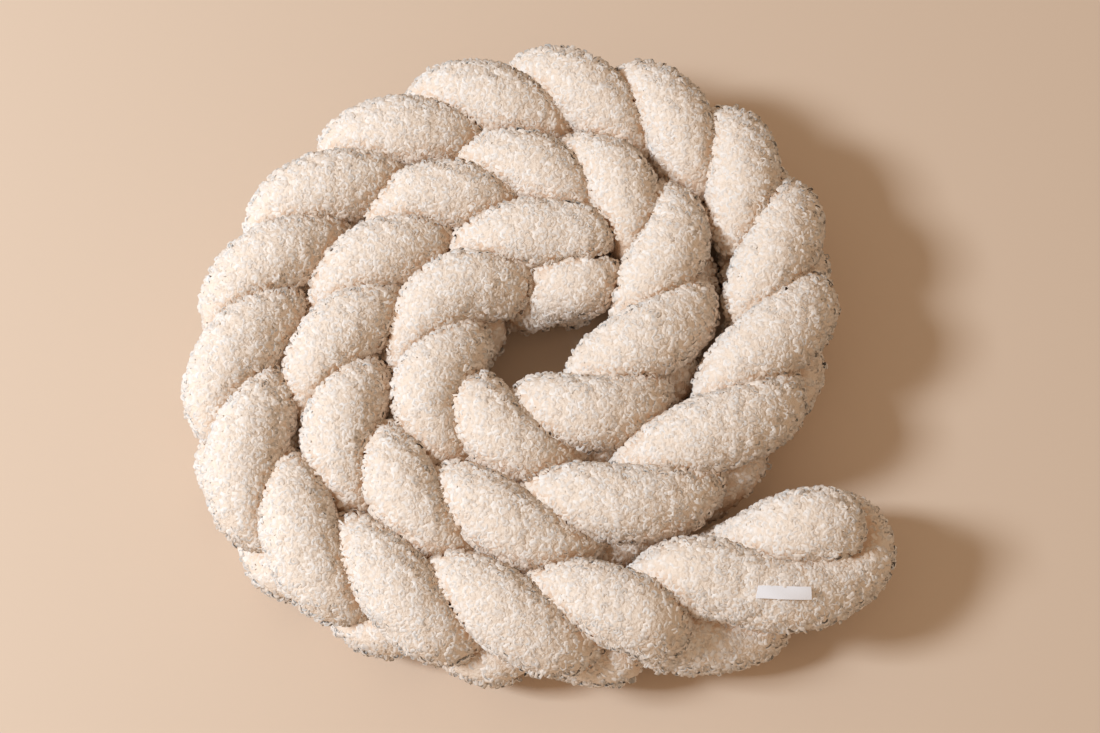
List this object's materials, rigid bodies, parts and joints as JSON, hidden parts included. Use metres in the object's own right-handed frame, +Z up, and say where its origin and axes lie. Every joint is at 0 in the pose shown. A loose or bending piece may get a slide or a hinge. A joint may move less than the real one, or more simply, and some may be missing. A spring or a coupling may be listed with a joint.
{
  "type": "braided crib bumper",
  "caption": "Soft crib bumper plaited from plump stuffed tubes of cream boucle cloth, lying in a loose flat coil; it lines a crib's sides or lies as a long bolster.",
  "frame": {"origin": "middle of the bounding box, on the floor that the coil lies on", "axes": "+Z up, +X to the right along the coil's longest way across, which takes in the loose outer end, +Y away from the loose end's side"},
  "size_m": [0.6317, 0.6131, 0.1357],
  "materials": {
    "boucle_cloth": "matt looped pile",
    "label_ribbon": "smooth woven ribbon"
  },
  "bodies": {
    "root": {"strand_1": "boucle_cloth", "strand_2": "boucle_cloth", "strand_3": "boucle_cloth", "label": "label_ribbon"}
  },
  "joints": []
}
